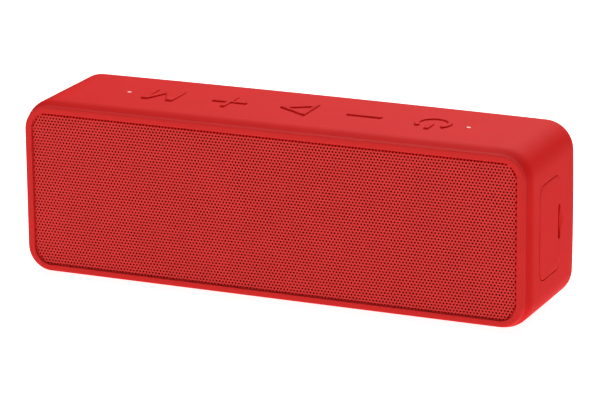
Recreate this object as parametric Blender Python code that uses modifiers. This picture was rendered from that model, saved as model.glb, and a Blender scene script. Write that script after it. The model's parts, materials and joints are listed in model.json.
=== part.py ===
"""Compact Bluetooth speaker with five moulded keys on top and a port flap on its right-hand end.

Frame: metres, +Z up, +X along the length towards the port end, front towards -Y. The origin is in the
middle of the footprint, on the surface that the rubber feet stand on. A "depth" is measured backwards
from the front face, and a "level" is measured upwards from the middle of the case.
"""
import math

import bmesh
import bpy
from mathutils import Matrix

MM = 0.001
GAP = 0.3 * MM

# Outside of the case
LENGTH = 165.0 * MM
HEIGHT = 54.7 * MM
DEPTH = 42.7 * MM
CORNER = 8.85 * MM
FOOT_HEIGHT = 0.8 * MM
EDGE_DEPTH = 5.8 * MM
EDGE_ANGLE = math.radians(17.8)
EDGE_BEND = 10.0 * MM
BACK_FILLET = 4.57 * MM
CROWN_TOP = 0.34 * MM
CROWN_END = 0.19 * MM
MIDDLE = FOOT_HEIGHT + HEIGHT / 2

# Walls, measured inwards from the outside of the case
SKIN = 1.2 * MM
TUB_OUTSIDE = SKIN + GAP
TUB_INSIDE = TUB_OUTSIDE + 1.6 * MM
RIB_INSIDE = TUB_INSIDE + 2.1 * MM

# Depths of what is stacked behind the front face
LIP_BACK = 0.4 * MM
GRILLE_FRONT = LIP_BACK + GAP
GRILLE_THICK = 0.5 * MM
BEZEL_BACK = 1.3 * MM
CASE_FRONT = BEZEL_BACK + GAP
BAFFLE_FRONT = 4.6 * MM
BAFFLE_THICK = 2.0 * MM
GASKET_FRONT = BAFFLE_FRONT + BAFFLE_THICK + GAP
GASKET_THICK = 0.7 * MM
RIB_FRONT = GASKET_FRONT + GASKET_THICK + GAP
RIB_BACK = RIB_FRONT + 0.8 * MM

# Front openings
GRILLE_OPENING = (158.2 * MM, 48.4 * MM, 5.4 * MM)
BEZEL_POCKET = (159.8 * MM, 50.0 * MM, 6.2 * MM)
GRILLE_PLATE = (159.2 * MM, 49.4 * MM, 5.9 * MM)

# Drivers and bass radiator
DRIVER_X = 47.0 * MM
DRIVER_HOLE = 18.6 * MM
RADIATOR_FRAME = (50.0 * MM, 43.0 * MM, 8.0 * MM)
RADIATOR_OPENING = (42.0 * MM, 35.0 * MM, 6.5 * MM)
RADIATOR_PLATE = (32.0 * MM, 25.0 * MM, 4.0 * MM)

# Baffle screws
SCREW_X = 74.0 * MM
SCREW_LEVEL = 19.2 * MM
SCREW_RADIUS = 0.95 * MM
BOSS_BACK = 16.0 * MM

# Keys on the top
KEY_PITCH = 22.2 * MM
KEY_MIDDLE = 0.3 * MM
KEY_DEPTH = 21.2 * MM
KEY_PAD_RADIUS = 8.6 * MM
KEY_PAD_THICK = 0.9 * MM
MARK_HEIGHT = 0.55 * MM
MARK_STROKE = 1.5 * MM
MARK_LENGTH = 11.4 * MM
LIGHT_X = 55.9 * MM
LIGHT_RADIUS = 0.6 * MM
TOP = HEIGHT / 2
PAD_TOP = TOP - TUB_OUTSIDE
BOARD_TOP = TOP - 7.0 * MM

# Port flap on the right-hand end
FLAP_FRONT = 9.9 * MM
FLAP_BACK = 27.6 * MM
FLAP_HALF_HEIGHT = 14.85 * MM
FLAP_CORNER = 4.0 * MM
FLAP_GAP = 0.35 * MM
FLAP_THICK = 1.9 * MM
FLAP_FACE = LENGTH / 2 + 0.05 * MM
NOTCH_BITE = 1.6 * MM
NOTCH_TALL = 10.8 * MM
SCOOP_RADIUS = 4.6 * MM
SCOOP_DEEP = 0.8 * MM
PANEL_FACE = LENGTH / 2 - TUB_INSIDE - GAP
PANEL_THICK = 1.8 * MM

# Rubber feet
FOOT_X = 52.0 * MM
FOOT_SIZE = (34.0 * MM, 9.0 * MM, 4.5 * MM)
FOOT_THICK = FOOT_HEIGHT + 0.9 * MM

# Colour, roughness and metallic value of each finish
FINISHES = {
    "soft_red": ((0.62, 0.045, 0.04), 0.55, 0.0),
    "painted_red": ((0.64, 0.05, 0.045), 0.45, 0.0),
    "grille_red": ((0.62, 0.06, 0.055), 0.4, 0.3),
    "dark_plastic": ((0.03, 0.03, 0.032), 0.5, 0.0),
    "black_rubber": ((0.02, 0.02, 0.02), 0.75, 0.0),
    "foam": ((0.05, 0.05, 0.05), 0.95, 0.0),
    "steel": ((0.6, 0.6, 0.6), 0.35, 1.0),
    "black_steel": ((0.03, 0.03, 0.032), 0.5, 0.5),
    "ferrite": ((0.06, 0.06, 0.065), 0.6, 0.0),
    "copper": ((0.7, 0.33, 0.16), 0.35, 1.0),
    "paper": ((0.04, 0.04, 0.045), 0.8, 0.0),
    "circuit_board": ((0.01, 0.13, 0.05), 0.45, 0.0),
    "chip": ((0.015, 0.015, 0.017), 0.4, 0.0),
    "cell_wrap": ((0.05, 0.2, 0.55), 0.4, 0.0),
    "light_guide": ((0.9, 0.86, 0.84), 0.3, 0.0),
}

# How a piece's own Z axis is turned: up, out of the front, or out of the right-hand end
FACING = {
    "top": Matrix.Identity(4),
    "front": Matrix(((1, 0, 0, 0), (0, 0, -1, 0), (0, 1, 0, 0), (0, 0, 0, 1))),
    "right": Matrix(((0, 0, 1, 0), (1, 0, 0, 0), (0, 1, 0, 0), (0, 0, 0, 1))),
}


# ---------------------------------------------------------------- scene and placing

def new_collection(name):
    collection = bpy.data.collections.new(name)
    bpy.context.scene.collection.children.link(collection)
    return collection


for old in list(bpy.data.objects):
    bpy.data.objects.remove(old)
PARTS = new_collection("bluetooth_speaker")
CUTTERS = new_collection("cutters")


def spot(x, depth, level):
    """World position of a point given by its X, its depth and its level."""
    return (x, depth - DEPTH / 2, MIDDLE + level)


def make(name, mesh, finish, centre, facing="top"):
    """Make a named piece of the speaker, with its own material."""
    piece = bpy.data.objects.new(name, mesh)
    piece.matrix_world = Matrix.Translation(centre) @ FACING[facing]
    PARTS.objects.link(piece)
    colour, roughness, metallic = FINISHES[finish]
    material = bpy.data.materials.new(name + "_material")
    material.use_nodes = True
    shader = material.node_tree.nodes["Principled BSDF"]
    shader.inputs["Base Color"].default_value = (*colour, 1.0)
    shader.inputs["Roughness"].default_value = roughness
    shader.inputs["Metallic"].default_value = metallic
    mesh.materials.clear()
    mesh.materials.append(material)
    return piece


def make_tool(name, mesh, centre, facing="top"):
    """Make a solid that only cuts, or is joined to, a piece of the speaker."""
    tool = bpy.data.objects.new(name, mesh)
    tool.matrix_world = Matrix.Translation(centre) @ FACING[facing]
    tool.hide_render = True
    tool.display_type = "WIRE"
    CUTTERS.objects.link(tool)
    return tool


def combine(piece, tool, operation):
    modifier = piece.modifiers.new(tool.name, "BOOLEAN")
    modifier.operation = operation
    modifier.object = tool


def hang_on(name, point, *pieces):
    """Parent moving pieces to an empty that sits on their joint's axis."""
    pivot = bpy.data.objects.new(name, None)
    pivot.location = point
    PARTS.objects.link(pivot)
    for piece in pieces:
        piece.parent = pivot
        piece.matrix_parent_inverse = Matrix.Translation(point).inverted()


# ---------------------------------------------------------------- outlines

def circle(radius, steps, centre=(0.0, 0.0)):
    """Outline of a circle. It starts half a step round, so that no point lies straight above its centre."""
    turns = [2 * math.pi * (i + 0.5) / steps for i in range(steps)]
    return [(centre[0] + radius * math.cos(a), centre[1] + radius * math.sin(a)) for a in turns]


def rounded_rectangle(size, steps=4, centre=(0.0, 0.0), grow=0.0):
    """Outline of a rounded rectangle, size = (width, height, corner radius), grown all round."""
    width, height, radius = size
    inner_u = width / 2 - radius
    inner_v = height / 2 - radius
    radius += grow
    points = []
    for corner, (su, sv) in enumerate(((1, 1), (-1, 1), (-1, -1), (1, -1))):
        for step in range(steps + 1):
            angle = math.pi / 2 * (corner + step / steps)
            points.append((centre[0] + su * inner_u + radius * math.cos(angle),
                           centre[1] + sv * inner_v + radius * math.sin(angle)))
    return points


def shift_edges(outline, distance):
    """Move every edge of a counter-clockwise polygon outwards, with mitred corners."""
    moved = []
    count = len(outline)
    for i in range(count):
        before, here, after = outline[i - 1], outline[i], outline[(i + 1) % count]
        normals = []
        for start, end in ((before, here), (here, after)):
            run = math.dist(start, end)
            normals.append(((end[1] - start[1]) / run, (start[0] - end[0]) / run))
        (au, av), (bu, bv) = normals
        scale = distance / (1.0 + au * bu + av * bv)
        moved.append((here[0] + (au + bu) * scale, here[1] + (av + bv) * scale))
    return moved


# ---------------------------------------------------------------- solids

def flat_mesh(name, outlines, thickness):
    """A flat solid from an outline and its holes, centred on its own thickness."""
    curve = bpy.data.curves.new(name, "CURVE")
    curve.dimensions = "2D"
    curve.fill_mode = "BOTH"
    curve.extrude = thickness / 2
    for outline in outlines:
        spline = curve.splines.new("POLY")
        spline.points.add(len(outline) - 1)
        spline.use_cyclic_u = True
        for point, (u, v) in zip(spline.points, outline):
            point.co = (u, v, 0.0, 1.0)
    drawing = bpy.data.objects.new(name, curve)
    bpy.context.scene.collection.objects.link(drawing)
    bpy.context.view_layer.update()
    evaluated = drawing.evaluated_get(bpy.context.evaluated_depsgraph_get())
    mesh = bpy.data.meshes.new_from_object(evaluated)
    bpy.data.objects.remove(drawing)
    shape = bmesh.new()
    shape.from_mesh(mesh)
    bmesh.ops.remove_doubles(shape, verts=shape.verts, dist=1e-6)
    if len(outlines) == 1:
        bmesh.ops.dissolve_limit(shape, angle_limit=1e-3, verts=shape.verts, edges=shape.edges)
    bmesh.ops.recalc_face_normals(shape, faces=shape.faces)
    shape.to_mesh(mesh)
    shape.free()
    return mesh


def loft_mesh(name, rings, loop=False):
    """Join rings of equal point counts, and either close the loft on itself or cap both ends."""
    mesh = bpy.data.meshes.new(name)
    shape = bmesh.new()
    rows = [[shape.verts.new(point) for point in ring] for ring in rings]
    count = len(rows[0])
    pairs = list(zip(rows, rows[1:]))
    if loop:
        pairs.append((rows[-1], rows[0]))
    else:
        shape.faces.new(rows[0])
        shape.faces.new(rows[-1])
    for row, following in pairs:
        for i in range(count):
            j = (i + 1) % count
            shape.faces.new((row[i], row[j], following[j], following[i]))
    bmesh.ops.recalc_face_normals(shape, faces=shape.faces)
    shape.to_mesh(mesh)
    shape.free()
    return mesh


def frame_mesh(name, section, steps=4):
    """A rounded rectangular ring. The section lists (size, height) corners, taken round in a loop."""
    rings = [[(u, v, height) for u, v in rounded_rectangle(size, steps)] for size, height in section]
    return loft_mesh(name, rings, loop=True)


def box_mesh(name, size):
    mesh = bpy.data.meshes.new(name)
    shape = bmesh.new()
    bmesh.ops.create_cube(shape, size=1.0, matrix=Matrix.Diagonal((*size, 1.0)))
    shape.to_mesh(mesh)
    shape.free()
    return mesh


def soften(piece, width, segments=1):
    modifier = piece.modifiers.new("edges", "BEVEL")
    modifier.width = width
    modifier.segments = segments


def turned_piece(name, profile, finish, centre, facing, ring=False, steps=24):
    """Spin a profile of (radius, height) points, which runs down its outer side, round the Z axis."""
    mesh = bpy.data.meshes.new(name)
    edges = [(i, i + 1) for i in range(len(profile) - 1)]
    if ring:
        edges.append((len(profile) - 1, 0))
    mesh.from_pydata([(radius, 0.0, height) for radius, height in profile], edges, [])
    piece = make(name, mesh, finish, centre, facing)
    screw = piece.modifiers.new("turn", "SCREW")
    screw.steps = steps
    screw.render_steps = steps
    screw.use_merge_vertices = True
    screw.merge_threshold = 1e-6
    return piece


def washer(outer, inner, top, bottom):
    """Profile of a flat ring."""
    return [(outer, top), (outer, bottom), (inner, bottom), (inner, top)]


# ---------------------------------------------------------------- case

def case_outline(inset, depth, crowned, edge_steps=4, corner_steps=5):
    """Outline of the case at one depth. Its straight edges swell a little, more so towards the back."""
    half_length = LENGTH / 2 - inset
    half_height = HEIGHT / 2 - inset
    radius = CORNER - inset
    swell = depth / DEPTH if crowned else 0.0
    points = []
    for corner, (sx, sz) in enumerate(((1, 1), (-1, 1), (-1, -1), (1, -1))):
        centre_x = sx * (half_length - radius)
        centre_z = sz * (half_height - radius)
        for step in range(corner_steps + 1):
            angle = math.pi / 2 * (corner + step / corner_steps)
            points.append((centre_x + radius * math.cos(angle), centre_z + radius * math.sin(angle)))
        along_x = corner % 2 == 0
        reach = half_length - radius if along_x else half_height - radius
        crown = (CROWN_TOP if along_x else CROWN_END) * swell
        for step in range(1, edge_steps):
            t = 2 * step / edge_steps - 1
            rise = crown * (1 - t * t)
            if along_x:
                points.append((-sx * reach * t, sz * (half_height + rise)))
            else:
                points.append((sx * (half_length + rise), -sz * reach * t))
    return [spot(x, depth, z) for x, z in points]


def edge_inset(depth):
    """How far the bevelled front edge is drawn in at a depth. It meets the sides in a soft bend."""
    bend_run = EDGE_BEND * math.sin(EDGE_ANGLE)
    run = max(EDGE_DEPTH - depth, 0.0)
    bent = min(run, bend_run)
    return EDGE_BEND - math.sqrt(EDGE_BEND ** 2 - bent ** 2) + (run - bent) * math.tan(EDGE_ANGLE)


def wall_rings(offset, front, edge_steps, fillet_steps=3):
    """Rings of a wall of the case, front to back, at an offset inside the outer surface."""
    outside = offset == 0.0
    depths = [front]
    if outside:
        depths += [front + (EDGE_DEPTH - front) * t for t in (0.27, 0.62, 1.0)]
    rings = []
    for depth in depths:
        inset = offset + (edge_inset(depth) if outside else 0.0)
        rings.append(case_outline(inset, depth, outside, edge_steps))
    radius = BACK_FILLET - offset
    for step in range(fillet_steps + 1):
        angle = math.pi / 2 * step / fillet_steps
        depth = DEPTH - offset - radius + radius * math.sin(angle)
        rings.append(case_outline(offset + radius * (1 - math.cos(angle)), depth, outside, edge_steps))
    return rings


def shell_mesh(name, inner, outer):
    """An open-fronted shell, lofted up its inside from the back and down its outside."""
    return loft_mesh(name, list(reversed(inner)) + outer)


def make_skin():
    inside = wall_rings(SKIN, CASE_FRONT, 4)
    outside = wall_rings(0.0, CASE_FRONT, 4)
    return make("outer_skin", shell_mesh("outer_skin", inside, outside), "soft_red", (0, 0, 0))


def make_tub():
    """The stiff case, with a rib inside that the baffle's gasket is pressed on."""
    steps = ((TUB_INSIDE, CASE_FRONT), (TUB_INSIDE, RIB_FRONT),
             (RIB_INSIDE, RIB_FRONT), (RIB_INSIDE, RIB_BACK))
    inside = [case_outline(inset, depth, False, 1) for inset, depth in steps]
    inside += wall_rings(TUB_INSIDE, RIB_BACK, 1)
    outside = wall_rings(TUB_OUTSIDE, CASE_FRONT, 1)
    tub = make("inner_tub", shell_mesh("inner_tub", inside, outside), "dark_plastic", (0, 0, 0))
    boss_height = HEIGHT / 2 - TUB_INSIDE - SCREW_LEVEL + 2.3 * MM + 0.8 * MM
    boss_level = SCREW_LEVEL - 2.3 * MM + boss_height / 2
    boss_front = RIB_FRONT + 0.2 * MM
    boss_length = BOSS_BACK - boss_front
    for x, sign in screw_places():
        boss = make_tool("boss", box_mesh("boss", (4.6 * MM, boss_length, boss_height)),
                         spot(x, boss_front + boss_length / 2, sign * boss_level))
        combine(tub, boss, "UNION")
        hole = make_tool("boss_hole", flat_mesh("boss_hole", [circle(1.25 * MM, 12)], 20 * MM),
                         spot(x, 4.0 * MM, sign * SCREW_LEVEL), "front")
        combine(tub, hole, "DIFFERENCE")
    return tub


def screw_places():
    """X and sign of the level of each baffle screw."""
    return [(sx * SCREW_X, sz) for sx in (-1, 1) for sz in (1, -1)]


def make_bezel():
    """The slim front ring: its outside carries the bevelled edge on, and its pocket holds the grille."""
    rings = []
    for size, depth in ((BEZEL_POCKET, BEZEL_BACK), (BEZEL_POCKET, LIP_BACK),
                        (GRILLE_OPENING, LIP_BACK), (GRILLE_OPENING, 0.0)):
        rings.append([spot(x, depth, z) for x, z in rounded_rectangle(size, 6)])
    for depth in (0.0, BEZEL_BACK / 2, BEZEL_BACK):
        inset = edge_inset(depth)
        size = (LENGTH - 2 * inset, HEIGHT - 2 * inset, CORNER - inset)
        rings.append([spot(x, depth, z) for x, z in rounded_rectangle(size, 6)])
    return make("front_bezel", loft_mesh("front_bezel", rings, loop=True), "painted_red", (0, 0, 0))


def make_front():
    make_bezel()
    make("front_grille", flat_mesh("front_grille", [rounded_rectangle(GRILLE_PLATE, 6)], GRILLE_THICK),
         "grille_red", spot(0, GRILLE_FRONT + GRILLE_THICK / 2, 0), "front")
    inside = 2 * (TUB_INSIDE + GAP)
    baffle_size = (LENGTH - inside, HEIGHT - inside, CORNER - inside / 2)
    holes = [circle(DRIVER_HOLE, 28, (sx * DRIVER_X, 0)) for sx in (-1, 1)]
    holes.append(rounded_rectangle(RADIATOR_OPENING))
    holes += [circle(1.3 * MM, 12, (x, sign * SCREW_LEVEL)) for x, sign in screw_places()]
    make("front_baffle", flat_mesh("front_baffle", [rounded_rectangle(baffle_size)] + holes, BAFFLE_THICK),
         "dark_plastic", spot(0, BAFFLE_FRONT + BAFFLE_THICK / 2, 0), "front")
    gasket = [rounded_rectangle(baffle_size), rounded_rectangle(baffle_size, grow=-1.8 * MM)]
    make("baffle_gasket", flat_mesh("baffle_gasket", gasket, GASKET_THICK),
         "foam", spot(0, GASKET_FRONT + GASKET_THICK / 2, 0), "front")
    head = 1.9 * MM
    profile = [(0, 1.5 * MM), (1.2 * MM, 1.35 * MM), (head, 0.7 * MM), (head, 0),
               (SCREW_RADIUS, 0), (SCREW_RADIUS, -6.6 * MM), (0.4 * MM, -7.2 * MM), (0, -7.2 * MM)]
    for number, (x, sign) in enumerate(screw_places(), 1):
        turned_piece("baffle_screw_%d" % number, profile, "black_steel",
                     spot(x, BAFFLE_FRONT - GAP, sign * SCREW_LEVEL), "front", steps=12)


# ---------------------------------------------------------------- drivers

def surround_section(inner, outer, crest, level_in, level_out, sheet=0.35 * MM, steps=3):
    """Section of a rolled rubber edge, outer side first: (distance out, height) points."""
    middle = (inner[1] + outer[0]) / 2
    upper_radius = (outer[0] - inner[1]) / 2
    top, under = [], []
    for step in range(steps + 1):
        angle = math.pi * step / steps
        base = level_out + (level_in - level_out) * step / steps
        rise = base + (crest - sheet) * math.sin(angle)
        top.append((middle + upper_radius * math.cos(angle), rise + sheet))
        under.append((middle + (upper_radius - sheet) * math.cos(angle), rise))
    return ([(outer[1], level_out + sheet), (outer[1], level_out)] + under
            + [(inner[0], level_in), (inner[0], level_in + sheet)] + list(reversed(top)))


def make_driver(side, x):
    """One full-range driver. Heights are measured forwards from the baffle's front face."""
    axis = spot(x, BAFFLE_FRONT, 0)

    def turn(part, finish, profile, ring=True, steps=24):
        points = [(radius * MM, height * MM) for radius, height in profile]
        return turned_piece(side + "_" + part, points, finish, axis, "front", ring, steps)

    basket = [(20.5, 1.3), (20.5, 0.3), (18.2, 0.3), (18.2, -3.0), (12.4, -11.0), (12.4, -12.0),
              (7.4, -12.0), (7.4, -11.2), (11.6, -11.2), (17.3, -2.7), (17.3, 1.3)]
    turn("basket", "steel", basket)
    turn("top_plate", "steel", washer(11.5, 6.5, -12.3, -14.3), steps=20)
    turn("magnet", "ferrite", washer(12.0, 7.4, -14.6, -19.6), steps=20)
    turn("yoke", "steel", [(0, -12.6), (5.1, -12.6), (5.1, -19.9), (11.5, -19.9), (11.5, -21.6), (0, -21.6)],
         ring=False, steps=20)
    coil = turn("voice_coil", "copper", washer(6.1, 5.5, -4.9, -15.4), steps=20)
    cone = turn("cone", "paper", [(14.9, 0.9), (14.9, 0.45), (7.0, -4.6), (6.6, -4.6), (6.6, -4.1)])
    dome = [(0, -1.2), (3.6, -1.8), (6.2, -3.6), (6.2, -4.0), (3.4, -2.3), (0, -1.7)]
    cap = turn("dust_cap", "paper", dome, ring=False)
    rubber = [(r / MM, h / MM) for r, h in surround_section(
        (14.0 * MM, 15.4 * MM), (17.6 * MM, 20.2 * MM), 1.1 * MM, 1.2 * MM, 1.6 * MM)]
    turn("surround", "black_rubber", rubber)
    hang_on(side + "_cone_axis", axis, coil, cone, cap)


def make_radiator():
    """The bass radiator: a weighted plate on a rolled rubber edge, in a frame."""
    centre = spot(0, BAFFLE_FRONT, 0)
    width, height, corner = RADIATOR_FRAME
    hole = rounded_rectangle(RADIATOR_OPENING)
    make("radiator_frame", flat_mesh("radiator_frame", [rounded_rectangle(RADIATOR_FRAME), hole], 1.0 * MM),
         "dark_plastic", spot(0, BAFFLE_FRONT - 0.8 * MM, 0), "front")
    half = RADIATOR_PLATE[0] / 2
    section = surround_section((half - 1.5 * MM, half + 1.0 * MM), (half + 4.4 * MM, half + 7.5 * MM),
                               1.1 * MM, 1.25 * MM, 1.6 * MM)
    sized = []
    for reach, level in section:
        extra = reach - half
        sized.append(((RADIATOR_PLATE[0] + 2 * extra, RADIATOR_PLATE[1] + 2 * extra,
                       RADIATOR_PLATE[2] + extra), level))
    make("radiator_surround", frame_mesh("radiator_surround", sized), "black_rubber", centre, "front")
    plate = make("radiator_plate", flat_mesh("radiator_plate", [rounded_rectangle(RADIATOR_PLATE)], 2.4 * MM),
                 "black_steel", spot(0, BAFFLE_FRONT + 0.25 * MM, 0), "front")
    hang_on("radiator_axis", centre, plate)


# ---------------------------------------------------------------- keys and lights

def letter_m(width, height, stroke):
    """Outline of a block M, counter-clockwise, with broad shoulders and a deep valley."""
    left = width / 2
    top = height / 2
    valley = top - height * 0.79
    slope = (top - valley) / (left - stroke / 2)
    half_band = stroke / 2 * math.sqrt(1 + slope ** 2)
    shoulder = left - 1.55 * stroke
    armpit = top - slope * stroke / 2 - half_band
    right_side = [(left - stroke, -top), (left, -top), (left, top), (shoulder, top)]
    notch = [(0.0, valley + half_band)]
    left_side = [(-shoulder, top), (-left, top), (-left, -top), (stroke - left, -top)]
    tip = [(stroke - left, armpit), (0.0, valley - half_band), (left - stroke, armpit)]
    return right_side + notch + left_side + tip


def bar(length, stroke):
    u, v = length / 2, stroke / 2
    return [(-u, -v), (u, -v), (u, v), (-u, v)]


def quarter_turn(outline):
    return [(-v, u) for u, v in outline]


def arc_band(radius, stroke, gap_angle, steps=16):
    """A broken ring whose gap faces -Y."""
    start = -math.pi / 2 + gap_angle
    sweep = 2 * (math.pi - gap_angle)
    turns = [start + sweep * i / steps for i in range(steps + 1)]
    outer = [(radius * math.cos(a), radius * math.sin(a)) for a in turns]
    inner = [((radius - stroke) * math.cos(a), (radius - stroke) * math.sin(a)) for a in reversed(turns)]
    return outer + inner


def mark_shapes():
    """For each key: its name, the outlines that pass through the skin, and what is hollowed out of them."""
    turned_m = [(-u, -v) for u, v in letter_m(10.6 * MM, 10.9 * MM, MARK_STROKE)]
    dash = bar(MARK_LENGTH, MARK_STROKE)
    triangle = [(-5.5 * MM, 0.0), (5.2 * MM, -6.3 * MM), (5.2 * MM, 6.3 * MM)]
    stick = [(u, v - 3.6 * MM) for u, v in quarter_turn(bar(5.7 * MM, MARK_STROKE))]
    return [
        ("mode", [turned_m], []),
        ("volume_up", [dash, quarter_turn(dash)], []),
        ("play", [triangle], [shift_edges(triangle, -MARK_STROKE)]),
        ("volume_down", [dash], []),
        ("power", [arc_band(5.8 * MM, MARK_STROKE, math.radians(47)), stick], []),
    ]


def crown_at(x, depth):
    """How far the top swells above the flat height there."""
    reach = LENGTH / 2 - CORNER
    return CROWN_TOP * depth / DEPTH * (1 - (x / reach) ** 2)


def pierce_top(skin, tub):
    """Cut the marks' windows in the skin, the pads' holes in the tub, and the light guides' holes in both."""
    guide_holes = [circle(LIGHT_RADIUS + GAP, 12, (x, 0)) for x in (-LIGHT_X, LIGHT_X)]
    pad_holes = [circle(KEY_PAD_RADIUS + 0.5 * MM, 24, (x, 0)) for x in key_places()]
    cuts = [(tub, 0, pad_holes + guide_holes), (skin, 0, guide_holes)]
    for x, (_, outlines, _) in zip(key_places(), mark_shapes()):
        cuts += [(skin, x, [shift_edges(outline, GAP)]) for outline in outlines]
    for case, x, outlines in cuts:
        tool = make_tool("top_opening", flat_mesh("top_opening", outlines, 7 * MM), spot(x, KEY_DEPTH, TOP))
        combine(case, tool, "DIFFERENCE")


def key_places():
    return [KEY_MIDDLE + (place - 2) * KEY_PITCH for place in range(5)]


def make_key(name, x, outlines, holes):
    """A key moulded as a pad under the skin, with its mark standing up through the skin."""
    pad_middle = PAD_TOP - KEY_PAD_THICK / 2
    key = make(name + "_key", flat_mesh(name + "_key", [circle(KEY_PAD_RADIUS, 24)], KEY_PAD_THICK),
               "soft_red", spot(x, KEY_DEPTH, pad_middle))
    mark_top = TOP + crown_at(x, KEY_DEPTH) + MARK_HEIGHT
    tall = mark_top - pad_middle
    for outline in outlines:
        stem = make_tool(name + "_stem", flat_mesh("stem", [outline], tall),
                         spot(x, KEY_DEPTH, pad_middle + tall / 2))
        combine(key, stem, "UNION")
    if holes:
        hollow = make_tool(name + "_hollow", flat_mesh("hollow", holes, 2 * MARK_HEIGHT),
                           spot(x, KEY_DEPTH, mark_top))
        combine(key, hollow, "DIFFERENCE")

    plunger_top = PAD_TOP - KEY_PAD_THICK - GAP
    plunger_tall = 2.2 * MM
    plunger = make(name + "_plunger", flat_mesh("plunger", [circle(1.3 * MM, 12)], plunger_tall),
                   "chip", spot(x, KEY_DEPTH, plunger_top - plunger_tall / 2))
    base = BOARD_TOP + GAP
    tall = plunger_top - 0.9 * MM - base
    switch = make(name + "_switch", box_mesh("switch", (6 * MM, 6 * MM, tall)),
                  "chip", spot(x, KEY_DEPTH, base + tall / 2))
    well = make_tool(name + "_well", flat_mesh("well", [circle(1.6 * MM, 12)], 4.6 * MM),
                     spot(x, KEY_DEPTH, base + tall))
    combine(switch, well, "DIFFERENCE")
    hang_on(name + "_key_axis", spot(x, KEY_DEPTH, 0), key, plunger)


def make_light(name, x):
    """A light guide that ends flush with the top."""
    top = TOP + crown_at(x, KEY_DEPTH) + 0.1 * MM
    tall = top - BOARD_TOP - GAP
    make(name, flat_mesh(name, [circle(LIGHT_RADIUS, 12)], tall), "light_guide",
         spot(x, KEY_DEPTH, top - tall / 2))


# ---------------------------------------------------------------- port end

def scoop_mesh():
    """A shallow round dish, seen from outside, with a straight stub above it."""
    ball = (SCOOP_RADIUS ** 2 + SCOOP_DEEP ** 2) / (2 * SCOOP_DEEP)
    rings = [[(u, v, 2 * SCOOP_DEEP) for u, v in circle(SCOOP_RADIUS, 24)]]
    for share in (1.0, 0.8, 0.55, 0.25):
        radius = SCOOP_RADIUS * share
        height = ball - SCOOP_DEEP - math.sqrt(ball ** 2 - radius ** 2)
        rings.append([(u, v, height) for u, v in circle(radius, 24)])
    return loft_mesh("scoop", rings)


def make_ports(skin, tub):
    middle = (FLAP_FRONT + FLAP_BACK) / 2
    size = (FLAP_BACK - FLAP_FRONT, 2 * FLAP_HALF_HEIGHT, FLAP_CORNER)
    for case in (skin, tub):
        window = make_tool("flap_window", flat_mesh("flap_window", [rounded_rectangle(size, 5)], 8 * MM),
                           spot(LENGTH / 2 - 1 * MM, middle, 0), "right")
        combine(case, window, "DIFFERENCE")
    scoop_depth = FLAP_BACK + 2.0 * MM - SCOOP_RADIUS
    scoop = make_tool("finger_scoop", scoop_mesh(), spot(FLAP_FACE, scoop_depth, 0), "right")
    combine(skin, scoop, "DIFFERENCE")

    flap_outline = rounded_rectangle(size, 5, grow=-FLAP_GAP)
    flap = make("port_cover", flat_mesh("port_cover", [flap_outline], FLAP_THICK),
                "soft_red", spot(FLAP_FACE - FLAP_THICK / 2, middle, 0), "right")
    bite = rounded_rectangle((2 * NOTCH_BITE, NOTCH_TALL, 0.9 * MM), 4)
    notch = make_tool("finger_notch", flat_mesh("finger_notch", [bite], 8 * MM),
                      spot(FLAP_FACE, FLAP_BACK - FLAP_GAP, 0), "right")
    combine(flap, notch, "DIFFERENCE")
    seal_tall = 1.4 * MM
    seal_size = (11.0 * MM, 24.0 * MM, 2.5 * MM)
    seal_outlines = [rounded_rectangle(seal_size), rounded_rectangle(seal_size, grow=-1.2 * MM)]
    seal = make_tool("flap_seal", flat_mesh("flap_seal", seal_outlines, seal_tall),
                     spot(FLAP_FACE - FLAP_THICK - seal_tall / 2 + 0.5 * MM, middle - 1.5 * MM, 0), "right")
    combine(flap, seal, "UNION")
    hang_on("port_cover_hinge", spot(FLAP_FACE, FLAP_FRONT + FLAP_GAP, 0), flap)

    slot = (2.9 * MM, 9.3 * MM, 1.3 * MM)
    socket_depth = 15.6 * MM
    usb_level = -4.0 * MM
    aux_level = 8.0 * MM
    holes = [rounded_rectangle(slot, 3, (socket_depth - middle, usb_level)),
             circle(1.9 * MM, 16, (socket_depth - middle, aux_level))]
    panel = [rounded_rectangle(size, 4, grow=0.8 * MM)] + holes
    make("port_panel", flat_mesh("port_panel", panel, PANEL_THICK),
         "dark_plastic", spot(PANEL_FACE - PANEL_THICK / 2, middle, 0), "right")
    socket_face = PANEL_FACE - PANEL_THICK - GAP
    usb = make("usb_socket", box_mesh("usb_socket", (8.0 * MM, 3.4 * MM, 10.0 * MM)), "steel",
               spot(socket_face - 4.0 * MM, socket_depth, usb_level))
    mouth_outline = rounded_rectangle((2.4 * MM, 8.4 * MM, 1.1 * MM), 3)
    mouth = make_tool("usb_mouth", flat_mesh("usb_mouth", [mouth_outline], 12 * MM),
                      spot(socket_face, socket_depth, usb_level), "right")
    combine(usb, mouth, "DIFFERENCE")
    aux = make("aux_socket", box_mesh("aux_socket", (12.0 * MM, 5.0 * MM, 6.0 * MM)), "chip",
               spot(socket_face - 6.0 * MM, socket_depth - 0.8 * MM, aux_level))
    bore = make_tool("aux_bore", flat_mesh("aux_bore", [circle(1.8 * MM, 16)], 20 * MM),
                     spot(socket_face, socket_depth, aux_level), "right")
    combine(aux, bore, "DIFFERENCE")
    board_depth = socket_depth + 1.7 * MM + GAP + 0.5 * MM
    make("port_board", box_mesh("port_board", (14.0 * MM, 1.0 * MM, 30.0 * MM)), "circuit_board",
         spot(socket_face - 7.0 * MM, board_depth, 0))


# ---------------------------------------------------------------- inside and underneath

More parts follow.
